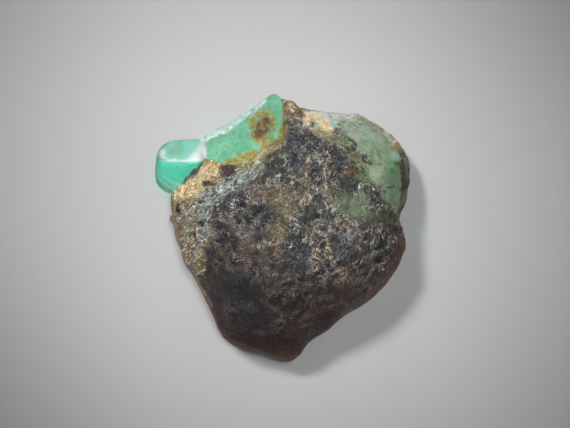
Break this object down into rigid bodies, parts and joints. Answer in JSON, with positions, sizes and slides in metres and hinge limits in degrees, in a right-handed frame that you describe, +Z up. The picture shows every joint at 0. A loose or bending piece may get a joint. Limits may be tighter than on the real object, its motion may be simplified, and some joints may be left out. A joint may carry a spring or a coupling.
{
  "type": "raw emerald crystal specimen",
  "caption": "Rough lump of dark mica schist with green emerald crystals grown in its upper edge, lying on its flat back for display.",
  "frame": {"origin": "on the surface that the specimen lies on, under the middle of its box", "axes": "+Z up out of the domed face, +Y from the tapered foot to the crystal peak, +X across the stone to the right crystal"},
  "size_m": [0.0382, 0.04, 0.0192],
  "materials": {
    "mica_schist": "satin",
    "emerald_bright": "gloss",
    "emerald_deep": "gloss"
  },
  "bodies": {
    "root": {"schist_matrix": "mica_schist", "emerald_crystal_left": "emerald_bright", "emerald_crystal_right": "emerald_deep"}
  },
  "joints": []
}
